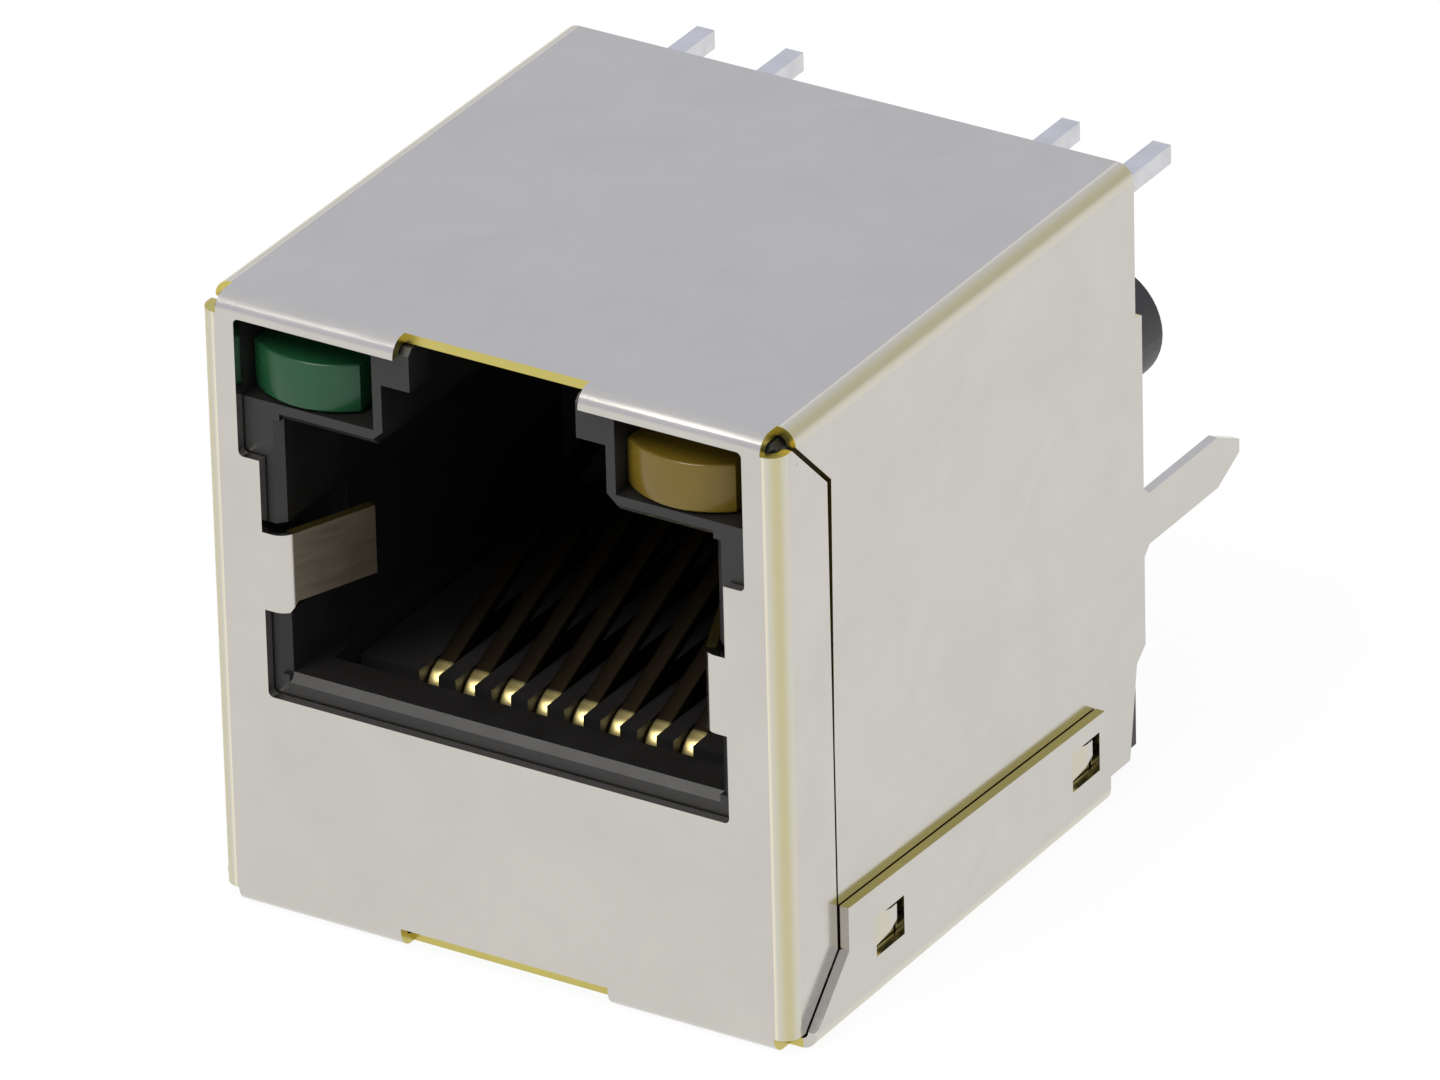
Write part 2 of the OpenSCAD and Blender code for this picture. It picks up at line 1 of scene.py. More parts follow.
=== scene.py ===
# %% [markdown]
# # A shielded modular jack
# The real jack is a black housing in a folded shell of plated brass sheet, with eight spring
# contacts and two lamps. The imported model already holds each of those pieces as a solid. This
# file gives them the finish of the real parts, remakes the contacts and the lamp bodies as finer
# surfaces, and sets up paper, lights and a camera. Lengths on the jack are written in
# millimetres. The paper, the lights and the camera are in metres, as Blender has them.
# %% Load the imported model
import math
import bpy
import numpy as np
from mathutils import Matrix, Vector
from mathutils.bvhtree import BVHTree


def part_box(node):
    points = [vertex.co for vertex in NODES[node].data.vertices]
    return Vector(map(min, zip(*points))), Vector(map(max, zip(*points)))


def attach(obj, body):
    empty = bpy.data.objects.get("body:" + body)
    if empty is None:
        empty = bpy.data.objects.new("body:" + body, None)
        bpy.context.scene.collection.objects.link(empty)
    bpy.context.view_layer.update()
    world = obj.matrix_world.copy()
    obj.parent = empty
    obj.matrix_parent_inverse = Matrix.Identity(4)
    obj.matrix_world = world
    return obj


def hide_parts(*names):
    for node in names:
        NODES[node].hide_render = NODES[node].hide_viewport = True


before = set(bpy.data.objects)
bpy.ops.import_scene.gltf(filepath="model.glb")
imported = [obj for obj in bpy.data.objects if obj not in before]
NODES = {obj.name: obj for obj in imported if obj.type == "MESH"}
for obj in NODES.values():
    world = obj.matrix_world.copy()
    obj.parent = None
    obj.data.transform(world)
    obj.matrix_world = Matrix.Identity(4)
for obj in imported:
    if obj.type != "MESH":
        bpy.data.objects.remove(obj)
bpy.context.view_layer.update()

MM = 0.001            # one millimetre in metres


def box_mm(name):
    """Lowest and highest corner of a node, in millimetres."""
    return [np.array(corner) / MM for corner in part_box(name)]


# %% [markdown]
# ## Helpers for finishes
# Each finish below is a small node tree. An image could be wrapped round every piece instead,
# but that needs an unwrapped mesh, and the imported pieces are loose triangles. A pattern worked
# out from Object coordinates needs no unwrapping and stays fixed to its piece from every side.
# The pieces are a few millimetres long, so one mapping turns metres into millimetres, and a
# texture scale reads as features per millimetre.
# %% Materials and coordinates


def new_material(name):
    """An empty material with an output and a Principled shader; returns (material, tree, shader)."""
    material = bpy.data.materials.new(name)
    material.use_nodes = True
    tree = material.node_tree
    tree.nodes.clear()
    output = tree.nodes.new("ShaderNodeOutputMaterial")
    shader = tree.nodes.new("ShaderNodeBsdfPrincipled")
    tree.links.new(shader.outputs["BSDF"], output.inputs["Surface"])
    return material, tree, shader


def millimetres(tree, stretch=(1.0, 1.0, 1.0)):
    """Object coordinates in millimetres, times stretch along each axis."""
    coordinates = tree.nodes.new("ShaderNodeTexCoord")
    mapping = tree.nodes.new("ShaderNodeMapping")
    mapping.inputs["Scale"].default_value = [s / MM for s in stretch]
    tree.links.new(coordinates.outputs["Object"], mapping.inputs["Vector"])
    return mapping.outputs["Vector"]


def put_on(obj, *materials):
    """Replaces what is in the object's material slots."""
    obj.data.materials.clear()
    for material in materials:
        obj.data.materials.append(material)


# %% Noise, ranges and dots


def noise(tree, vector, scale, detail=3.0, roughness=0.5, distortion=0.0):
    """The grey output of a Noise texture."""
    node = tree.nodes.new("ShaderNodeTexNoise")
    node.inputs["Scale"].default_value = scale
    node.inputs["Detail"].default_value = detail
    node.inputs["Roughness"].default_value = roughness
    node.inputs["Distortion"].default_value = distortion
    tree.links.new(vector, node.inputs["Vector"])
    return node.outputs["Fac"]


def spread(tree, value, low, high, to_low=0.0, to_high=1.0):
    """value from low..high stretched to to_low..to_high, clamped."""
    node = tree.nodes.new("ShaderNodeMapRange")
    node.inputs["From Min"].default_value = low
    node.inputs["From Max"].default_value = high
    node.inputs["To Min"].default_value = to_low
    node.inputs["To Max"].default_value = to_high
    tree.links.new(value, node.inputs["Value"])
    return node.outputs["Result"]


def specks(tree, vector, scale, radius):
    """1 at the middle of a few scattered dots, falling to 0 at their radius in mm and beyond."""
    node = tree.nodes.new("ShaderNodeTexVoronoi")
    node.inputs["Scale"].default_value = scale
    tree.links.new(vector, node.inputs["Vector"])
    return spread(tree, node.outputs["Distance"], 0.0, radius * scale, to_low=1.0, to_high=0.0)


# %% Colours and bumps


def blend_colours(tree, factor, first, second):
    """A colour between first and second; each is a list or a socket."""
    node = tree.nodes.new("ShaderNodeMix")
    node.data_type = "RGBA"
    tree.links.new(factor, node.inputs["Factor"])
    for name, value in (("A", first), ("B", second)):
        socket = [s for s in node.inputs if s.name == name and s.type == "RGBA"][0]
        if isinstance(value, (list, tuple)):
            socket.default_value = (*value, 1.0)
        else:
            tree.links.new(value, socket)
    return [s for s in node.outputs if s.type == "RGBA"][0]


def shaded(colour, factor):
    """A colour times a factor."""
    return [c * factor for c in colour]


def add_bump(tree, shader, height, distance_mm, strength=1.0):
    """A bump of distance_mm from a grey height."""
    node = tree.nodes.new("ShaderNodeBump")
    node.inputs["Strength"].default_value = strength
    node.inputs["Distance"].default_value = distance_mm * MM
    tree.links.new(height, node.inputs["Height"])
    tree.links.new(node.outputs["Normal"], shader.inputs["Normal"])


# %% [markdown]
# ## Nickel-plated sheet
# The shell is brass sheet, plated to a satin shine, then punched and folded. Rolling leaves
# faint streaks, handling leaves soft smudges and a few dark specks, and a fold stretches the
# plating until warm brass shows along its middle. The bands on the folds could be painted by
# hand or laid on as a second mesh. Here they come from the surface normal, because a fold is
# the only place where the skin leans partly to the side, so the band follows any fold.
# The folds across the front are given a pale cream tint, which is a painted highlight.
# %% Folds from the normal
FOLD_STARTS = (0.03, 0.2)        # the normal's share along X at the edge of a side fold
MIDDLE_STARTS = (0.25, 0.62)     # the same at the near edge of the fold's middle band
MIDDLE_ENDS = (0.80, 0.97)       # and at its far edge, next to the side panel


def side_fold(tree):
    """Two masks from the normal: 1 on any fold that turns towards the sides, and 1 in its middle."""
    coordinates = tree.nodes.new("ShaderNodeTexCoord")
    split = tree.nodes.new("ShaderNodeSeparateXYZ")
    tree.links.new(coordinates.outputs["Normal"], split.inputs["Vector"])
    size = tree.nodes.new("ShaderNodeMath")
    size.operation = "ABSOLUTE"
    tree.links.new(split.outputs["X"], size.inputs[0])
    rising = spread(tree, size.outputs[0], *MIDDLE_STARTS)
    falling = spread(tree, size.outputs[0], *MIDDLE_ENDS, to_low=1.0, to_high=0.0)
    both = tree.nodes.new("ShaderNodeMath")
    both.operation = "MULTIPLY"
    tree.links.new(rising, both.inputs[0])
    tree.links.new(falling, both.inputs[1])
    return spread(tree, size.outputs[0], *FOLD_STARTS), both.outputs[0]


# %% The finishes of the sheet
STREAKS = (0.25, 0.8, 5.0)       # longest along X, so the rolling streaks run across the jack
SPECK_SCALE, SPECK_R = 0.13, 0.09
SPECK_SHADE = 0.45


def plated_sheet(name, tint, roughness, drift=0.05, side=None, crease=None):
    """Metal whose tint and roughness drift with a soft and a streaky noise, with a few dark specks."""
    material, tree, shader = new_material(name)
    place = millimetres(tree)
    smudge = noise(tree, place, scale=0.35, detail=5.0, roughness=0.6, distortion=0.5)
    streak = noise(tree, millimetres(tree, STREAKS), scale=1.2, detail=3.0)
    shade = blend_colours(tree, spread(tree, smudge, 0.35, 0.65), shaded(tint, 1 - drift), tint)
    # On the folds, tint is a cream painted highlight; folds that turn to the side take the side tint and a
    # brass middle.
    if side and crease:
        turned, middle = side_fold(tree)
        shade = blend_colours(tree, turned, shade, side)
        shade = blend_colours(tree, middle, shade, crease)
    dots = specks(tree, place, SPECK_SCALE, SPECK_R)
    shade = blend_colours(tree, dots, shade, shaded(tint, SPECK_SHADE))
    tree.links.new(shade, shader.inputs["Base Color"])
    rough = spread(tree, streak, 0.3, 0.7, roughness - 0.03, roughness + 0.04)
    tree.links.new(rough, shader.inputs["Roughness"])
    shader.inputs["Metallic"].default_value = 1.0
    add_bump(tree, shader, smudge, distance_mm=0.004, strength=0.35)
    return material


PLATE = plated_sheet("nickel plate", [0.585, 0.562, 0.518], 0.17)
# the cream tint is a painted highlight on the folds across the front
FOLD = plated_sheet("stretched plate with painted highlight", [0.920, 0.850, 0.650], 0.24,
                    side=[0.610, 0.585, 0.500], crease=[0.560, 0.510, 0.310])
# the fingers' dark tone is partly wear from the plug and partly painted shade of the cavity
FINGER = plated_sheet("rubbed plate with painted shade", [0.330, 0.275, 0.205], 0.40)
CUT = plated_sheet("bare brass edge", [0.580, 0.500, 0.150], 0.30)
SHELL_FINISHES = (PLATE, FOLD, CUT, FINGER)
print("sheet finishes:", [finish.name for finish in SHELL_FINISHES])

# %% [markdown]
# ## Which faces of the shell are which
# A folded sheet has three kinds of face: the flat skin, the rounded folds, and the narrow walls
# where the punch went through. The faces could be picked by hand in Edit Mode, but there are
# nearly two thousand, and the picks would be lost with the next change of the model. Here the
# metal itself tells them apart. A ray from the middle of a face goes into the metal: from the
# skin and the folds it comes out after one sheet thickness, from a punched wall it travels along
# the sheet. A skin face that shares its direction with hardly any area is part of a fold.
# %% Measure the metal behind each face
NO_WALL = 99.0        # stands for a ray that leaves the mesh without meeting a wall


def face_table(mesh):
    """Centres in mm, normals and areas in mm2 of all faces, as arrays."""
    count = len(mesh.polygons)
    centres, normals, areas = np.empty(count * 3), np.empty(count * 3), np.empty(count)
    mesh.polygons.foreach_get("center", centres)
    mesh.polygons.foreach_get("normal", normals)
    mesh.polygons.foreach_get("area", areas)
    return centres.reshape(-1, 3) / MM, normals.reshape(-1, 3), areas / MM**2


def wall_behind(mesh, centres, normals, start=0.004):
    """For each face, how far a ray from its centre goes through the metal; start and result in mm."""
    corners = [v.co / MM for v in mesh.vertices]
    tree = BVHTree.FromPolygons(corners, [p.vertices for p in mesh.polygons])
    hits = [tree.ray_cast(Vector(c - n * start), Vector(-n)) for c, n in zip(centres, normals)]
    return np.array([hit[3] + start if hit[3] is not None else NO_WALL for hit in hits])


# %% Sort the shell's faces
SKIN, BENT, PUNCHED, RUBBED_AND_SHADED = range(4)    # places in SHELL_FINISHES
SHEET = 0.25                     # thickness of the sheet
SHEET_TOLERANCE = 0.03
FOLD_AREA = 2.0                  # a direction with less skin than this belongs to a fold, mm2

shield = NODES["shield"]
centres, normals, areas = face_table(shield.data)
depth = wall_behind(shield.data, centres, normals)
is_skin = np.abs(depth - SHEET) < SHEET_TOLERANCE
_, group = np.unique(normals.round(2), axis=0, return_inverse=True)
group = group.ravel()
skin_in_direction = np.bincount(group, weights=areas * is_skin)[group]
kind = np.where(is_skin, np.where(skin_in_direction < FOLD_AREA, BENT, SKIN), PUNCHED)
print("faces of the shell:", len(kind), "skin area in mm2:", round(float(areas[is_skin].sum()), 1))

# %% [markdown]
# ## Faces with a finish of their own
# Brass does not show everywhere the rule above would put it. The spring fingers' folds, the
# window's edge, the tray's slanted front edges and the ground tabs are left as silvery as the
# skin. The fingers' flat sides get a darker and rougher plate: partly the wear of sheet that a
# plug rubs on, partly painted shade of the cavity they stand in.
# A painted mask could say so. Boxes in millimetres are enough here, because each of these
# places is well apart from the others.
# %% Sort the exceptions
INSIDE_MARGIN = 1.5              # inside starts this far in from the shell's widest point
TRAY_HALF, TRAY_TOP = 7.9, 3.4   # the tray's flanges lie outside and below this
LEANS_FORWARD = -0.3             # a normal with less along Y than this faces the plug
TAB_ZONE = 4.4                   # the last stretch of the shell's depth, where only the tabs are
FRONT_LAYER = 0.3                # the front panel and its edges lie in this depth
WINDOW_HALF, WINDOW_LOW, WINDOW_HIGH = 7.2, 5.0, 15.5
FINGER_DEPTH = 4.0               # how deep into the jack the fingers' sides take their own finish
FINGER_LEAN_Y, FINGER_LEAN_Z = 0.6, 0.5    # the most that a finger's side leans along Y and Z

shell_low, shell_high = box_mm("shield")
front_y = shell_low[1]           # the shell's front face
off_middle, y, z = np.abs(centres[:, 0]), centres[:, 1], centres[:, 2]
inside = off_middle < shell_high[0] - INSIDE_MARGIN
tray_front = (off_middle > TRAY_HALF) & (z < TRAY_TOP) & (normals[:, 1] < LEANS_FORWARD)
tabs = y > shell_high[1] - TAB_ZONE
window = (off_middle < WINDOW_HALF) & (y < front_y + FRONT_LAYER) & (z < WINDOW_HIGH) & (z > WINDOW_LOW)
behind_front = (y > front_y + FRONT_LAYER) & (y < front_y + FINGER_DEPTH)
sideways = (np.abs(normals[:, 1]) < FINGER_LEAN_Y) & (np.abs(normals[:, 2]) < FINGER_LEAN_Z)

kind[(kind == BENT) & inside] = SKIN
kind[(kind == PUNCHED) & (tray_front | tabs | window)] = SKIN
# the fingers' sides take the dark plate, partly painted shade of the cavity
kind[(kind == SKIN) & inside & behind_front & sideways] = RUBBED_AND_SHADED

# %% Put the finishes on the shell
put_on(shield, *SHELL_FINISHES)
shield.data.polygons.foreach_set("material_index", kind.astype(np.int32))
shield.data.update()
print("shell faces: skin", (kind == SKIN).sum(), "fold", (kind == BENT).sum(),
      "cut", (kind == PUNCHED).sum(), "finger", (kind == RUBBED_AND_SHADED).sum())

# %% [markdown]
# ## Black mouldings
# The housing and the contact block are glass-filled black plastic. The mould was spark-eroded,
# so the surface is a fine grain that breaks up highlights, with fibres that show as paler flecks
# drawn out along the flow. The grain could be real displacement, but it is far too fine to need
# it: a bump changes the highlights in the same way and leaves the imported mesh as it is.
# %% Plastics


def black_plastic(name, colour, roughness):
    """Moulded plastic: near-black base, paler flecks, a fine grain, a slow drift in roughness."""
    material, tree, shader = new_material(name)
    place = millimetres(tree)
    drift = noise(tree, place, scale=0.8, detail=3.0)
    shade = blend_colours(tree, drift, shaded(colour, 0.8), shaded(colour, 1.2))
    fibres = noise(tree, millimetres(tree, (1.0, 0.3, 1.0)), scale=9.0, detail=3.0, roughness=0.6)
    shade = blend_colours(tree, spread(tree, fibres, 0.62, 0.8), shade, shaded(colour, 1.9))
    tree.links.new(shade, shader.inputs["Base Color"])
    rough = spread(tree, drift, 0.3, 0.7, roughness - 0.05, roughness + 0.06)
    tree.links.new(rough, shader.inputs["Roughness"])
    grain = noise(tree, place, scale=26.0, detail=2.0)
    add_bump(tree, shader, grain, distance_mm=0.003, strength=0.6)
    return material


HOUSING = black_plastic("black moulding", [0.0095, 0.0088, 0.0083], 0.44)
BLOCK = black_plastic("black contact block", [0.013, 0.012, 0.012], 0.42)
put_on(NODES["housing"], HOUSING)
put_on(NODES["contact_block"], BLOCK)
print("mouldings:", [HOUSING.name, BLOCK.name])

# %% [markdown]
# ## Surfaces from a section and a path
# A stamped contact is a flat strip, so its surface is a small rounded rectangle carried along a
# bent line. A lamp body is a plan outline carried upwards, drawn in a little at both ends to
# round the rims. Both could be curves with a bevel, or primitives with modifiers. As arrays they
# are one and the same grid, rings of points one after the other with a cap at each end, and
# every point lies exactly where the formula puts it.
# %% Outlines


def arc(centre, radius, start, end, count):
    """Points at centre + radius * (cos, sin) of an angle that runs from start to end, in degrees."""
    angle = np.radians(np.linspace(start, end, count))
    return np.stack([centre[0] + radius * np.cos(angle), centre[1] + radius * np.sin(angle)], axis=1)


def rounded_rectangle(width, height, radius, count=4):
    """Four quarter circles about the corners of a rectangle that is smaller by radius, anticlockwise."""
    w, h = width / 2 - radius, height / 2 - radius
    corners = [((w, h), 0), ((-w, h), 90), ((-w, -h), 180), ((w, -h), 270)]
    return np.concatenate([arc(centre, radius, start, start + 90, count) for centre, start in corners])


print("points round a rounded rectangle:", len(rounded_rectangle(1.0, 1.0, 0.1)))

# %% Rings and caps


def grid_faces(rings, around):
    """Quads between neighbouring rings and one cap at each end, as lists of vertex numbers."""
    i, j = np.meshgrid(np.arange(rings - 1), np.arange(around), indexing="ij")
    k = (j + 1) % around
    quads = np.stack([i * around + j, i * around + k, (i + 1) * around + k, (i + 1) * around + j], axis=-1)
    first = list(range(around))[::-1]
    last = list(range((rings - 1) * around, rings * around))
    return quads.reshape(-1, 4).tolist() + [first, last]


def make_piece(name, points_mm, faces, material, sharp=40.0):
    """A mesh object at the origin, smooth except where faces meet at more than sharp degrees."""
    mesh = bpy.data.meshes.new(name)
    mesh.from_pydata((points_mm * MM).tolist(), [], faces)
    mesh.validate()
    mesh.shade_smooth()
    mesh.set_sharp_from_angle(angle=math.radians(sharp))
    obj = bpy.data.objects.new(name, mesh)
    bpy.context.scene.collection.objects.link(obj)
    obj.data.materials.append(material)
    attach(obj, "root")
    return obj


def check_outwards(obj):
    """Turns a closed mesh whose volume, a third of the sum of centre . normal * area, is negative."""
    mesh = obj.data
    centres_mm, directions, sizes = face_table(mesh)
    if (np.einsum("ij,ij->i", centres_mm, directions) * sizes).sum() < 0:
        mesh.flip_normals()


# %% [markdown]
# ## Gold and tin
# The front bend of a contact, where the plug touches, is gold-plated. Its sprung part is given a
# near-black, duller colour, which is painted shade of the cavity it lies in, and the tails and the
# lamp leads are tinned for soldering. Three materials on three sets of faces could do it, but then
# each border would be a hard line along the mesh. One material that reads how far along Y a point
# lies fades from zone to zone instead.
# %% Metals
GOLD_FADE = 0.12                 # length of the change from gold to the dark spring
TIN_FADE = 0.1                   # half the length of the change to tin


def ramp_along(tree, axis, low, high):
    """0 below low and 1 above high along one axis of the Object coordinates, in mm."""
    split = tree.nodes.new("ShaderNodeSeparateXYZ")
    tree.links.new(millimetres(tree), split.inputs["Vector"])
    return spread(tree, split.outputs[axis], low, high)


def contact_metal(name, gold, spring, tin, nose_end_y, tail_start_y):
    """Gold at the front bend, a near-black spring behind it as painted shade, and tin on the tail."""
    material, tree, shader = new_material(name)
    grain = noise(tree, millimetres(tree, (9.0, 0.6, 9.0)), scale=2.5, detail=2.0)
    behind = ramp_along(tree, "Y", nose_end_y, nose_end_y + GOLD_FADE)
    tail = ramp_along(tree, "Y", tail_start_y - TIN_FADE, tail_start_y + TIN_FADE)
    # the near-black spring colour is painted shade of the cavity, with a grain over it
    spring_painted_shade = blend_colours(tree, grain, shaded(spring, 0.7), shaded(spring, 1.3))
    colour = blend_colours(tree, behind, gold, spring_painted_shade)
    tree.links.new(blend_colours(tree, tail, colour, tin), shader.inputs["Base Color"])
    tree.links.new(spread(tree, behind, 0.0, 1.0, 0.34, 0.4), shader.inputs["Roughness"])
    shader.inputs["Metallic"].default_value = 1.0
    add_bump(tree, shader, grain, distance_mm=0.002, strength=0.4)
    return material


def drawn_metal(name, colour, roughness):
    """Drawn metal with a faint grain along Y and a soft mottle."""
    material, tree, shader = new_material(name)
    grain = noise(tree, millimetres(tree, (6.0, 0.5, 6.0)), scale=2.0, detail=2.0)
    mottle = noise(tree, millimetres(tree), scale=1.6, detail=3.0)
    shade = blend_colours(tree, grain, shaded(colour, 0.94), colour)
    shade = blend_colours(tree, spread(tree, mottle, 0.4, 0.7), shade, shaded(colour, 0.88))
    tree.links.new(shade, shader.inputs["Base Color"])
    rough = spread(tree, mottle, 0.3, 0.7, roughness - 0.04, roughness + 0.05)
    tree.links.new(rough, shader.inputs["Roughness"])
    shader.inputs["Metallic"].default_value = 1.0
    return material


# %% [markdown]
# ## The eight contacts
# Each contact is one strip with a single line of bends: it starts in the comb at the back of the
# cavity, slopes down to the front, turns round the nose, runs back under the floor, drops to its
# row and leaves through the board side. A bevelled curve would follow the line, but it twists
# where it likes and its ends are hard to place. Here the line is worked out in Y and Z, the
# tail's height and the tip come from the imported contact's box, and the strip's width always lies
# along X, as it does on a strip that was bent in a press.
# %% Line of a contact
NOSE_Y, NOSE_R = 3.38, 0.45      # depth of the front bend's centre and its radius
RUN_Z = 4.99                     # height of the run below the floor
SPRING_ANGLE = 24.0              # slope of the sprung part, degrees
SPRING_END_Y = 12.9              # depth of the sprung end, in the comb
DROP_Y, DROP_R = 13.6, 0.4       # the drop to the tails and its bends
TIP_L = 0.15                     # length over which the tail's tip is drawn in
NOSE_POINTS, SPRING_POINTS, BEND_POINTS = 22, 12, 8


def contact_line(tail_z, tail_end_y):
    """Points in (Y, Z): a straight slope, the nose's arc, two quarter bends and the tail's tip."""
    nose_z = RUN_Z + NOSE_R
    nose = arc((NOSE_Y, nose_z), NOSE_R, 90 + SPRING_ANGLE, 270, NOSE_POINTS)
    slope = math.tan(math.radians(SPRING_ANGLE))
    spring_end = nose[0] + np.array([1.0, slope]) * (SPRING_END_Y - nose[0][0])
    spring = np.linspace(spring_end, nose[0], SPRING_POINTS)[:-1]
    drop_top = arc((DROP_Y - DROP_R, RUN_Z - DROP_R), DROP_R, 90, 0, BEND_POINTS)
    drop_low = arc((DROP_Y + DROP_R, tail_z + DROP_R), DROP_R, 180, 270, BEND_POINTS)
    tip = np.array([[tail_end_y - TIP_L, tail_z], [tail_end_y, tail_z]])
    return np.concatenate([spring, nose, drop_top, drop_low, tip])


# %% Strip round the line
STRIP_W, STRIP_T, STRIP_EDGE = 0.48, 0.28, 0.06    # width, thickness and rounded edge
END_SHARE = 0.6                  # both ends are drawn in to this share of the section


def strip_points(line, x):
    """Line point + section: its first axis along X, its second along the line's normal in (Y, Z)."""
    section = rounded_rectangle(STRIP_W, STRIP_T, STRIP_EDGE)
    along = np.gradient(line, axis=0)
    along /= np.linalg.norm(along, axis=1, keepdims=True)
    normal = np.stack([-along[:, 1], along[:, 0]], axis=1)
    size = np.ones(len(line))
    size[-1] = size[0] = END_SHARE
    grid = np.empty((len(line), len(section), 3))
    grid[:, :, 0] = x + section[None, :, 0] * size[:, None]
    grid[:, :, 1:] = line[:, None, :] + normal[:, None, :] * (section[:, 1] * size[:, None])[:, :, None]
    return grid.reshape(-1, 3), len(line), len(section)


# %% Build the strips
WIRE_R = 0.23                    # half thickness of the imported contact's tail
GOLD_BEFORE_NOSE = 0.12          # the gold ends this much in front of the nose's centre
TIN_BEHIND_DROP = 1.0            # the tin starts this much behind the drop

# the second colour, near-black, is painted shade on the sprung part
CONTACT = contact_metal("gold-plated contact", [0.98, 0.82, 0.36], [0.045, 0.034, 0.020],
                        [0.62, 0.61, 0.58], front_y + NOSE_Y - GOLD_BEFORE_NOSE,
                        front_y + DROP_Y + TIN_BEHIND_DROP)
for number in range(1, 9):
    node = f"contact_{number}"
    low, high = box_mm(node)
    line = contact_line(low[2] + WIRE_R, high[1] - front_y)
    points, rings, around = strip_points(line, (low[0] + high[0]) / 2)
    points[:, 1] += front_y
    strip = make_piece(f"strip_{number}", points, grid_faces(rings, around), CONTACT)
    check_outwards(strip)
    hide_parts(node)
print("contact strips:", number, "points each:", rings * around)

# %% [markdown]
# ## Tinted resin
# A lamp is cast in tinted, slightly cloudy resin. Light goes into it and scatters, which could
# be a real volume inside the body, but a volume is slow and does not carry over to every other
# program. So the finish is a dark tinted body under a smooth skin that lets about a quarter of
# the light through.
# %% Resin of the lamps
CALM_BAND = (0.42, 0.1)          # the mottle fades out between these depths below the lens's top


def tinted_resin(name, colour, clear, top_z):
    """Cloudy resin: a tinted body under a smooth skin, partly letting light through."""
    material, tree, shader = new_material(name)
    place = millimetres(tree)
    drift = noise(tree, place, scale=0.9, detail=3.0)
    shade = blend_colours(tree, drift, shaded(colour, 0.82), shaded(colour, 1.15))
    calm = ramp_along(tree, "Z", top_z - CALM_BAND[0], top_z - CALM_BAND[1])
    tree.links.new(blend_colours(tree, calm, shade, colour), shader.inputs["Base Color"])
    tree.links.new(spread(tree, drift, 0.3, 0.7, 0.2, 0.3), shader.inputs["Roughness"])
    shader.inputs["Transmission Weight"].default_value = clear
    shader.inputs["IOR"].default_value = 1.46
    shader.inputs["Specular IOR Level"].default_value = 0.35
    waves = noise(tree, place, scale=2.0, detail=2.0)
    add_bump(tree, shader, waves, distance_mm=0.01, strength=0.3)
    return material


# %% [markdown]
# ## Lamp bodies
# A lamp has a narrow lens with a bulged front, and behind it a body that is as wide as the tall
# base block and holds the leads. Cubes with a Bevel modifier could be joined for it, but the
# bulge would be hard to set. Here the plan is drawn once, as an arc with straight sides that
# step out at a shoulder, and carried upwards as a prism. The base is a second, taller prism
# that laps over the end of the first.
# %% Prism and plan
RIM_STEPS = 4                    # rings in each rounded rim


def prism(outline, low_z, high_z, rim):
    """Rings of the outline scaled about its middle: at each end the inset follows a quarter circle."""
    middle = (outline.max(axis=0) + outline.min(axis=0)) / 2
    half = (outline.max(axis=0) - outline.min(axis=0)) / 2
    steps = np.radians(np.linspace(0, 90, RIM_STEPS))
    inset = np.concatenate([1 - np.sin(steps), 1 - np.cos(steps)]) * rim
    heights = np.concatenate([low_z + (1 - np.cos(steps)) * rim, high_z - (1 - np.sin(steps)) * rim])
    grid = np.empty((len(heights), len(outline), 3))
    scale = 1 - inset[:, None, None] / half[None, None, :]
    grid[:, :, :2] = middle + (outline - middle)[None] * scale
    grid[:, :, 2] = heights[:, None]
    return grid.reshape(-1, 3), grid_faces(len(heights), len(outline))


def lens_outline(width, centre_x, front, bulge, body_low, body_high, shoulder):
    """An arc whose radius is (half width squared + bulge squared) / (2 bulge), then the stepped sides."""
    radius = ((width / 2) ** 2 + bulge ** 2) / (2 * bulge)
    half_angle = math.degrees(math.asin(width / 2 / radius))
    front_arc = arc((centre_x, front + radius), radius, 270 - half_angle, 270 + half_angle, 28)
    right, left = centre_x + width / 2, centre_x - width / 2
    body = [[right, shoulder], [body_high[0], shoulder], [body_high[0], body_high[1]],
            [body_low[0], body_high[1]], [body_low[0], shoulder], [left, shoulder]]
    return np.concatenate([front_arc, body])


# %% Build the lamps
LENS_W, LENS_H, LENS_BULGE = 2.95, 1.27, 0.55
LENS_SHIFT = -0.33       # the lens stands a little to the left of its channel's middle
LENS_FORWARD = 0.12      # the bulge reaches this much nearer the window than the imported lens
SHOULDER = 1.6           # behind this depth the body is as wide as its base, to hold the leads
BASE_L, BASE_LAP = 1.4, 0.2      # length of the base block, and how far the body laps into it
RIM = 0.07               # radius of the rims
LENS_SHARP = 35.0        # edges of the lamps above this angle stay crisp, degrees

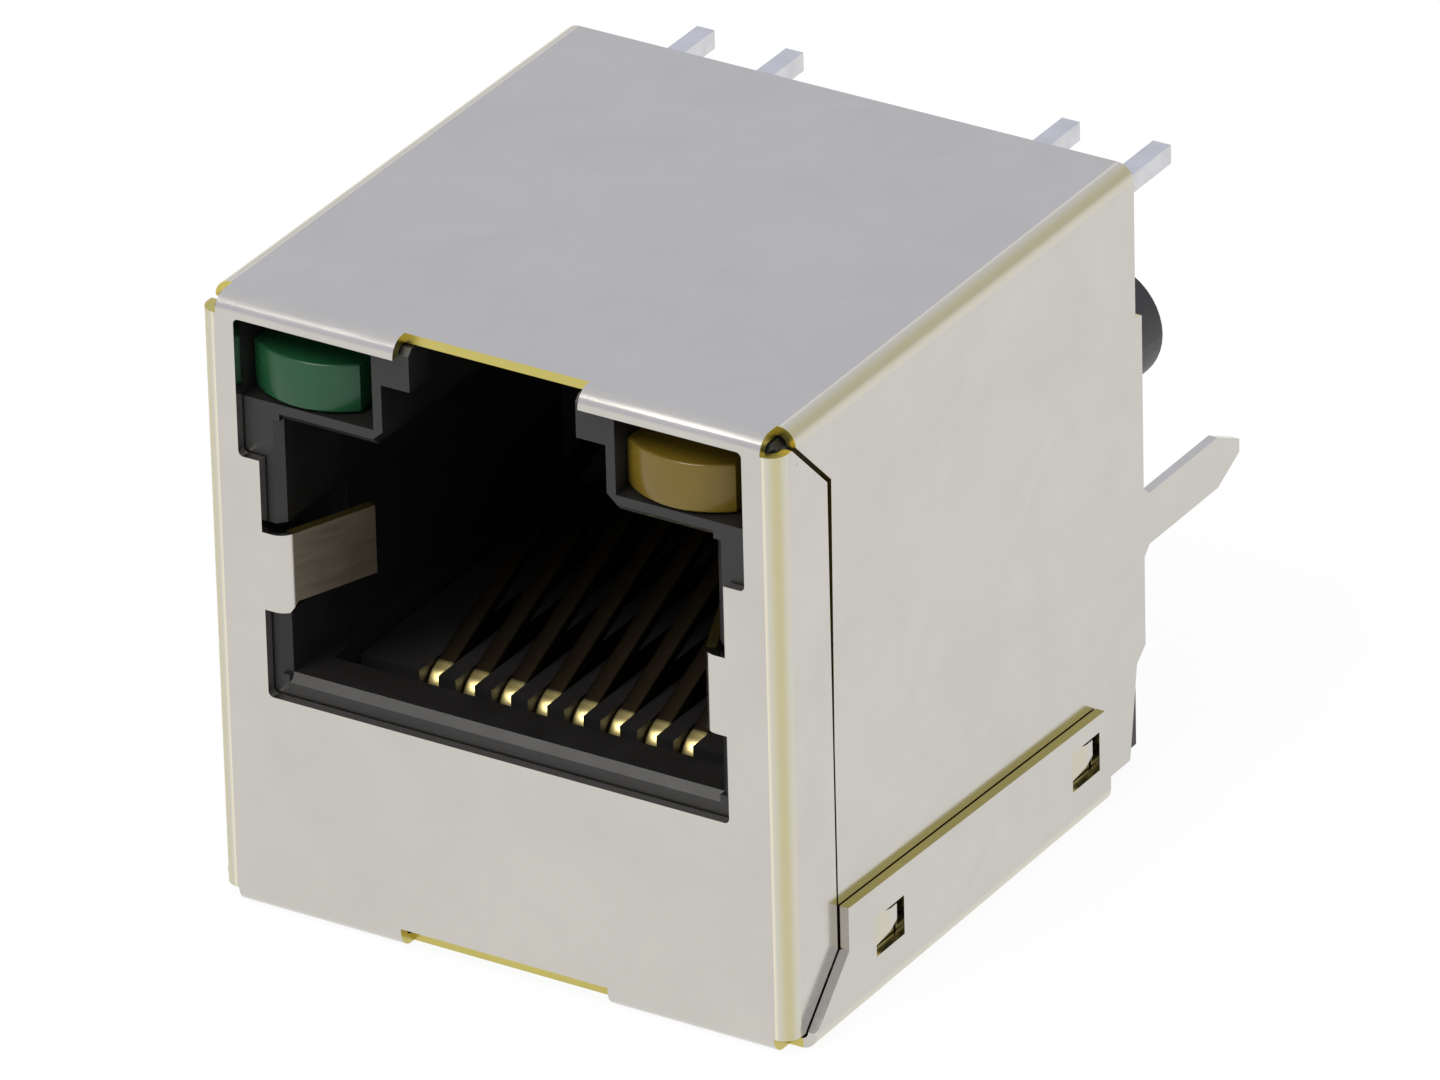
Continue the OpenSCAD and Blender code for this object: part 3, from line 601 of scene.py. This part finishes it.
lens_top = box_mm("green_lens")[0][2] + LENS_H
RESINS = {"green": tinted_resin("green resin", [0.012, 0.075, 0.028], 0.25, lens_top),
          "amber": tinted_resin("amber resin", [0.165, 0.110, 0.012], 0.25, lens_top)}
for colour, resin in RESINS.items():
    low, high = box_mm(f"{colour}_lens")
    middle_x = (low[0] + high[0]) / 2
    body_end = [high[0], high[1] - BASE_L + BASE_LAP]
    outline = lens_outline(LENS_W, middle_x + LENS_SHIFT, low[1] - LENS_FORWARD, LENS_BULGE,
                           low, body_end, low[1] + SHOULDER)
    lens_points, lens_faces = prism(outline, low[2], low[2] + LENS_H, RIM)
    block = rounded_rectangle(high[0] - low[0], BASE_L, RIM) + [middle_x, high[1] - BASE_L / 2]
    base_points, base_faces = prism(block, low[2], high[2], RIM)
    base_faces = [[v + len(lens_points) for v in face] for face in base_faces]
    lamp = make_piece(f"{colour}_lamp", np.concatenate([lens_points, base_points]),
                      lens_faces + base_faces, resin, sharp=LENS_SHARP)
    check_outwards(lamp)
    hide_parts(f"{colour}_lens")
print("lamps:", list(RESINS), "lens top in mm:", round(float(lens_top), 3))

# %% [markdown]
# ## Leads and chips
# The lamp leads are square tinned wire, and the chips inside the lamps are small, pale and
# polished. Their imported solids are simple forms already, so a new mesh would add nothing, and
# they only take a finish. Each chip has the tone of its own lamp's light.
# %% Leads and chips
TIN = drawn_metal("tinned lead", [0.66, 0.66, 0.68], 0.26)
CHIPS = {"green": drawn_metal("green chip", [0.45, 0.62, 0.40], 0.3),
         "amber": drawn_metal("amber chip", [0.62, 0.52, 0.30], 0.3)}
for colour, chip in CHIPS.items():
    put_on(NODES[f"{colour}_anode"], TIN)
    put_on(NODES[f"{colour}_cathode"], TIN)
    put_on(NODES[f"{colour}_chip"], chip)
print("leads:", TIN.name, "chips:", [chip.name for chip in CHIPS.values()])

# %% [markdown]
# ## The surroundings that the metal mirrors
# Plated sheet shows what is round it, so the world matters as much as the material. A studio
# image could be wrapped round the scene, but a few tones are enough for plain walls. The world
# is white at the horizon, turns pale and slightly cool above it and brightens upwards, which is
# what the top panel mirrors.
# %% World
HORIZON_TINT = [1.05, 1.05, 1.05]
WALL_TINT, CEILING_TINT = [0.79, 0.81, 0.93], [0.90, 0.92, 0.99]
WORLD_STRENGTH = 0.92

scene = bpy.context.scene
world = bpy.data.worlds.new("studio")
scene.world = world
world.use_nodes = True
sky = world.node_tree
sky_shader = sky.nodes["Background"]
direction = sky.nodes.new("ShaderNodeTexCoord")
split = sky.nodes.new("ShaderNodeSeparateXYZ")
sky.links.new(direction.outputs["Generated"], split.inputs["Vector"])
height = split.outputs["Z"]      # 0 at the horizon, 1 straight up
ceiling = blend_colours(sky, spread(sky, height, 0.3, 0.9), WALL_TINT, CEILING_TINT)
above_horizon = spread(sky, height, 0.07, 0.22)
sky.links.new(blend_colours(sky, above_horizon, HORIZON_TINT, ceiling), sky_shader.inputs["Color"])
sky_shader.inputs["Strength"].default_value = WORLD_STRENGTH
print("world:", world.name, "strength:", WORLD_STRENGTH)

# %% [markdown]
# ## White paper
# The jack stands on white paper in soft, even light. Paper that is lit like the jack comes out
# grey, and more light would bleach the jack. So rays that come straight from the camera, or from
# metal or glass, see the paper mostly as plain white. The small rest is lit paper, which keeps
# the soft shadow.
# %% Paper
FLOOR_HALF = 1.2         # half the width of the sheet of paper, metres
FLOOR_Z = -0.02 * MM     # just under the bottom plate, so that the two faces don't flicker
WHITE_SHARE = 0.93       # how much of the paper is plain white to those rays


def floor_paper(name):
    """Lit paper, mixed with an even white for camera, glossy and transmission rays."""
    material, tree, shader = new_material(name)
    shader.inputs["Base Color"].default_value = (0.9, 0.9, 0.9, 1.0)
    shader.inputs["Roughness"].default_value = 0.9
    path = tree.nodes.new("ShaderNodeLightPath")
    seen = path.outputs["Is Camera Ray"]
    for ray in ("Is Glossy Ray", "Is Transmission Ray"):
        either = tree.nodes.new("ShaderNodeMath")
        either.operation = "MAXIMUM"
        tree.links.new(seen, either.inputs[0])
        tree.links.new(path.outputs[ray], either.inputs[1])
        seen = either.outputs[0]
    white = tree.nodes.new("ShaderNodeEmission")
    white.inputs["Strength"].default_value = 1.0
    mixer = tree.nodes.new("ShaderNodeMixShader")
    tree.links.new(spread(tree, seen, 0.0, 1.0, 0.0, WHITE_SHARE), mixer.inputs["Fac"])
    tree.links.new(shader.outputs["BSDF"], mixer.inputs[1])
    tree.links.new(white.outputs["Emission"], mixer.inputs[2])
    tree.links.new(mixer.outputs["Shader"], tree.nodes["Material Output"].inputs["Surface"])
    return material


floor_mesh = bpy.data.meshes.new("floor")
corners = [(-FLOOR_HALF, -FLOOR_HALF, FLOOR_Z), (FLOOR_HALF, -FLOOR_HALF, FLOOR_Z),
           (FLOOR_HALF, FLOOR_HALF, FLOOR_Z), (-FLOOR_HALF, FLOOR_HALF, FLOOR_Z)]
floor_mesh.from_pydata(corners, [], [(0, 1, 2, 3)])
floor = bpy.data.objects.new("floor", floor_mesh)
scene.collection.objects.link(floor)
floor.data.materials.append(floor_paper("paper"))
print("paper: half width in metres", FLOOR_HALF, "height in mm", FLOOR_Z / MM)

# %% [markdown]
# ## Lights
# The world alone would light every side the same and leave no soft shadow. A sun would give
# hard edges to the highlights on the plate. Two square area lamps stand in for soft boxes: a
# large, slightly warm one high in front on the left, and a larger, weaker one on the right.
# %% Lamps
AIM = (0, 0, 0.008)      # the middle of the jack, metres


def soft_lamp(name, place, size, power, colour=(1, 1, 1)):
    """A square area lamp at place, aimed at the jack."""
    light = bpy.data.lights.new(name, "AREA")
    light.size = size
    light.energy = power
    light.color = colour
    lamp = bpy.data.objects.new(name, light)
    scene.collection.objects.link(lamp)
    lamp.location = place
    lamp.rotation_euler = (Vector(AIM) - Vector(place)).to_track_quat("-Z", "Y").to_euler()
    print("light:", name, "watts:", power)


soft_lamp("key", place=(-0.10, -0.34, 0.46), size=0.26, power=2.2, colour=(1.0, 0.97, 0.90))
soft_lamp("fill", place=(0.45, -0.05, 0.40), size=0.40, power=0.6)

# %% [markdown]
# ## Camera
# The jack is seen from the front right and from above, through a long lens that keeps its edges
# almost parallel. A camera could be aimed by a Track To constraint, but a constraint keeps it
# level. Here the picture's right and up directions are given as vectors, which sets the place,
# the aim and the slight roll together.
# %% Camera
CAMERA_PLACE = (0.1817664, -0.2889300, 0.1891599)            # metres
CAMERA_RIGHT = Vector((0.8522859, 0.5225700, -0.0230066))
CAMERA_UP = Vector((-0.2289752, 0.4122701, 0.8818184))
FOCAL_LENGTH, SENSOR_WIDTH = 402.3, 36.0                     # millimetres
NEAREST = 0.01           # nothing nearer than this is drawn, metres

camera_data = bpy.data.cameras.new("camera")
camera_data.sensor_width = SENSOR_WIDTH
camera_data.lens = FOCAL_LENGTH
camera_data.clip_start = NEAREST
camera = bpy.data.objects.new("camera", camera_data)
scene.collection.objects.link(camera)
scene.camera = camera
turn = Matrix((CAMERA_RIGHT, CAMERA_UP, CAMERA_RIGHT.cross(CAMERA_UP))).transposed()
camera.matrix_world = Matrix.Translation(CAMERA_PLACE) @ turn.to_4x4()
scene.view_settings.view_transform = "Standard"
print("camera at", CAMERA_PLACE, "focal length in mm:", FOCAL_LENGTH)
